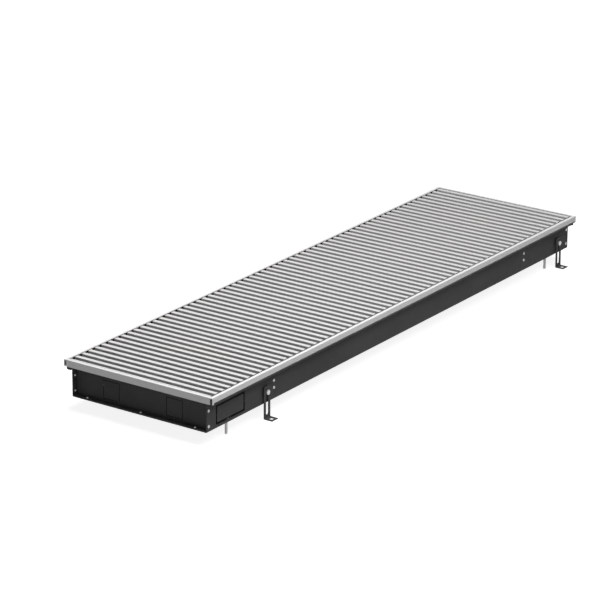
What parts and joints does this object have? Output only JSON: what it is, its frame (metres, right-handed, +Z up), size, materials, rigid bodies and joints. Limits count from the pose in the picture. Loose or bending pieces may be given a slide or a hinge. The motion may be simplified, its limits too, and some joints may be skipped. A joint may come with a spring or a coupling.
{
  "type": "trench convector heater",
  "caption": "Floor-trench convector: black sheet casing on levelling feet, aluminium frame, roll-up cross-bar grille over a finned copper heat exchanger.",
  "frame": {"origin": "on the raw floor under the middle of the heater", "axes": "+X along the casing away from the pipe end, +Z up, -Y the wall with the side knockout"},
  "size_m": [1.42, 0.395, 0.112],
  "materials": {
    "black_steel": "fine matt black powder coat on steel sheet",
    "anodised_aluminium": "natural satin anodised, drawn lines along the profile",
    "zinc_steel": "bright zinc plated",
    "black_plastic": "matt moulded",
    "black_rubber": "matt extruded",
    "copper": "bare copper tube, slightly dulled",
    "fin_aluminium": "bare rolled aluminium sheet",
    "brass": "machined brass"
  },
  "bodies": {
    "root": {"trench_tray": "black_steel", "end_panel_near": "black_steel", "end_panel_far": "black_steel", "exchanger_support_near": "black_steel", "exchanger_support_far": "black_steel", "frame_rail_front": "anodised_aluminium", "frame_rail_rear": "anodised_aluminium", "frame_rail_near": "anodised_aluminium", "frame_rail_far": "anodised_aluminium", "end_panel_rivets": "zinc_steel", "frame_screws": "zinc_steel", "support_screws": "zinc_steel", "bracket_bolts": "zinc_steel", "bracket_outer_nuts": "zinc_steel", "bracket_inner_nuts": "zinc_steel", "levelling_nuts": "zinc_steel", "frame_corner_keys": "black_plastic", "tube_grommets": "black_plastic", "damping_strip_front": "black_rubber", "damping_strip_rear": "black_rubber", "exchanger_tubes": "copper", "return_bends": "copper", "exchanger_fins": "fin_aluminium", "supply_header": "brass", "return_header": "brass", "air_vent_body": "brass"},
    "grille": {"grille_bars": "anodised_aluminium", "grille_sleeves": "black_plastic", "grille_core_springs": "zinc_steel"},
    "roll_1": {"roll_bar_1": "anodised_aluminium", "roll_links_1": "black_plastic"},
    "roll_2": {"roll_bar_2": "anodised_aluminium", "roll_links_2": "black_plastic"},
    "roll_3": {"roll_bar_3": "anodised_aluminium", "roll_links_3": "black_plastic"},
    "roll_4": {"roll_bar_4": "anodised_aluminium", "roll_links_4": "black_plastic"},
    "roll_5": {"roll_bar_5": "anodised_aluminium", "roll_links_5": "black_plastic"},
    "roll_6": {"roll_bar_6": "anodised_aluminium", "roll_links_6": "black_plastic"},
    "roll_7": {"roll_bar_7": "anodised_aluminium", "roll_links_7": "black_plastic"},
    "roll_8": {"roll_bar_8": "anodised_aluminium", "roll_links_8": "black_plastic"},
    "bracket_near_front": {"floor_bracket_near_front": "black_steel"},
    "tip_near_front": {"levelling_tip_near_front": "zinc_steel"},
    "screw_near_front": {"levelling_screw_near_front": "zinc_steel"},
    "bracket_near_rear": {"floor_bracket_near_rear": "black_steel"},
    "tip_near_rear": {"levelling_tip_near_rear": "zinc_steel"},
    "screw_near_rear": {"levelling_screw_near_rear": "zinc_steel"},
    "bracket_far_front": {"floor_bracket_far_front": "black_steel"},
    "tip_far_front": {"levelling_tip_far_front": "zinc_steel"},
    "screw_far_front": {"levelling_screw_far_front": "zinc_steel"},
    "bracket_far_rear": {"floor_bracket_far_rear": "black_steel"},
    "tip_far_rear": {"levelling_tip_far_rear": "zinc_steel"},
    "screw_far_rear": {"levelling_screw_far_rear": "zinc_steel"},
    "vent_screw": {"air_vent_screw": "zinc_steel"}
  },
  "joints": [
    {"name": "grille_lift", "type": "slide", "parent": "root", "child": "grille", "axis": [0, 0, 1], "range_m": [0, 0.15]},
    {"name": "roll_hinge_8", "type": "hinge", "parent": "grille", "child": "roll_8", "pos_m": [-0.5331, 0, 0.1065], "axis": [0, 1, 0], "range_deg": [0, 30]},
    {"name": "roll_hinge_7", "type": "hinge", "parent": "roll_8", "child": "roll_7", "pos_m": [-0.5549, 0, 0.1065], "axis": [0, 1, 0], "range_deg": [0, 30]},
    {"name": "roll_hinge_6", "type": "hinge", "parent": "roll_7", "child": "roll_6", "pos_m": [-0.5767, 0, 0.1065], "axis": [0, 1, 0], "range_deg": [0, 30]},
    {"name": "roll_hinge_5", "type": "hinge", "parent": "roll_6", "child": "roll_5", "pos_m": [-0.5985, 0, 0.1065], "axis": [0, 1, 0], "range_deg": [0, 30]},
    {"name": "roll_hinge_4", "type": "hinge", "parent": "roll_5", "child": "roll_4", "pos_m": [-0.6203, 0, 0.1065], "axis": [0, 1, 0], "range_deg": [0, 30]},
    {"name": "roll_hinge_3", "type": "hinge", "parent": "roll_4", "child": "roll_3", "pos_m": [-0.6421, 0, 0.1065], "axis": [0, 1, 0], "range_deg": [0, 30]},
    {"name": "roll_hinge_2", "type": "hinge", "parent": "roll_3", "child": "roll_2", "pos_m": [-0.6639, 0, 0.1065], "axis": [0, 1, 0], "range_deg": [0, 30]},
    {"name": "roll_hinge_1", "type": "hinge", "parent": "roll_2", "child": "roll_1", "pos_m": [-0.6857, 0, 0.1065], "axis": [0, 1, 0], "range_deg": [0, 30]},
    {"name": "bracket_slide_near_front", "type": "slide", "parent": "root", "child": "bracket_near_front", "axis": [0, 0, 1], "range_m": [0, 0.024]},
    {"name": "bracket_slide_near_rear", "type": "slide", "parent": "root", "child": "bracket_near_rear", "axis": [0, 0, 1], "range_m": [0, 0.024]},
    {"name": "bracket_slide_far_front", "type": "slide", "parent": "root", "child": "bracket_far_front", "axis": [0, 0, 1], "range_m": [0, 0.024]},
    {"name": "bracket_slide_far_rear", "type": "slide", "parent": "root", "child": "bracket_far_rear", "axis": [0, 0, 1], "range_m": [0, 0.024]},
    {"name": "level_travel_near_front", "type": "slide", "parent": "root", "child": "tip_near_front", "axis": [0, 0, 1], "range_m": [-0.012, 0.028]},
    {"name": "level_turn_near_front", "type": "hinge", "parent": "tip_near_front", "child": "screw_near_front", "pos_m": [-0.62375, -0.1605, 0.027], "axis": [0, 0, 1], "range_deg": [-4321, 10081]},
    {"name": "level_travel_near_rear", "type": "slide", "parent": "root", "child": "tip_near_rear", "axis": [0, 0, 1], "range_m": [-0.012, 0.028]},
    {"name": "level_turn_near_rear", "type": "hinge", "parent": "tip_near_rear", "child": "screw_near_rear", "pos_m": [-0.62375, 0.1605, 0.027], "axis": [0, 0, 1], "range_deg": [-4321, 10081]},
    {"name": "level_travel_far_front", "type": "slide", "parent": "root", "child": "tip_far_front", "axis": [0, 0, 1], "range_m": [-0.012, 0.028]},
    {"name": "level_turn_far_front", "type": "hinge", "parent": "tip_far_front", "child": "screw_far_front", "pos_m": [0.62375, -0.1605, 0.027], "axis": [0, 0, 1], "range_deg": [-4321, 10081]},
    {"name": "level_travel_far_rear", "type": "slide", "parent": "root", "child": "tip_far_rear", "axis": [0, 0, 1], "range_m": [-0.012, 0.028]},
    {"name": "level_turn_far_rear", "type": "hinge", "parent": "tip_far_rear", "child": "screw_far_rear", "pos_m": [0.62375, 0.1605, 0.027], "axis": [0, 0, 1], "range_deg": [-4321, 10081]},
    {"name": "vent_screw_turn", "type": "hinge", "parent": "root", "child": "vent_screw", "pos_m": [-0.51785, 0.044, 0.093], "axis": [0, 0, 1], "range_deg": [0, 360]}
  ],
  "couplings": [
    {"joint": "roll_hinge_7", "follows": "roll_hinge_8", "ratio": 1},
    {"joint": "roll_hinge_6", "follows": "roll_hinge_8", "ratio": 1},
    {"joint": "roll_hinge_5", "follows": "roll_hinge_8", "ratio": 1},
    {"joint": "roll_hinge_4", "follows": "roll_hinge_8", "ratio": 1},
    {"joint": "roll_hinge_3", "follows": "roll_hinge_8", "ratio": 1},
    {"joint": "roll_hinge_2", "follows": "roll_hinge_8", "ratio": 1},
    {"joint": "roll_hinge_1", "follows": "roll_hinge_8", "ratio": 1},
    {"joint": "level_turn_near_front", "follows": "level_travel_near_front", "rad_per_m": 6283.2},
    {"joint": "level_turn_near_rear", "follows": "level_travel_near_rear", "rad_per_m": 6283.2},
    {"joint": "level_turn_far_front", "follows": "level_travel_far_front", "rad_per_m": 6283.2},
    {"joint": "level_turn_far_rear", "follows": "level_travel_far_rear", "rad_per_m": 6283.2}
  ]
}
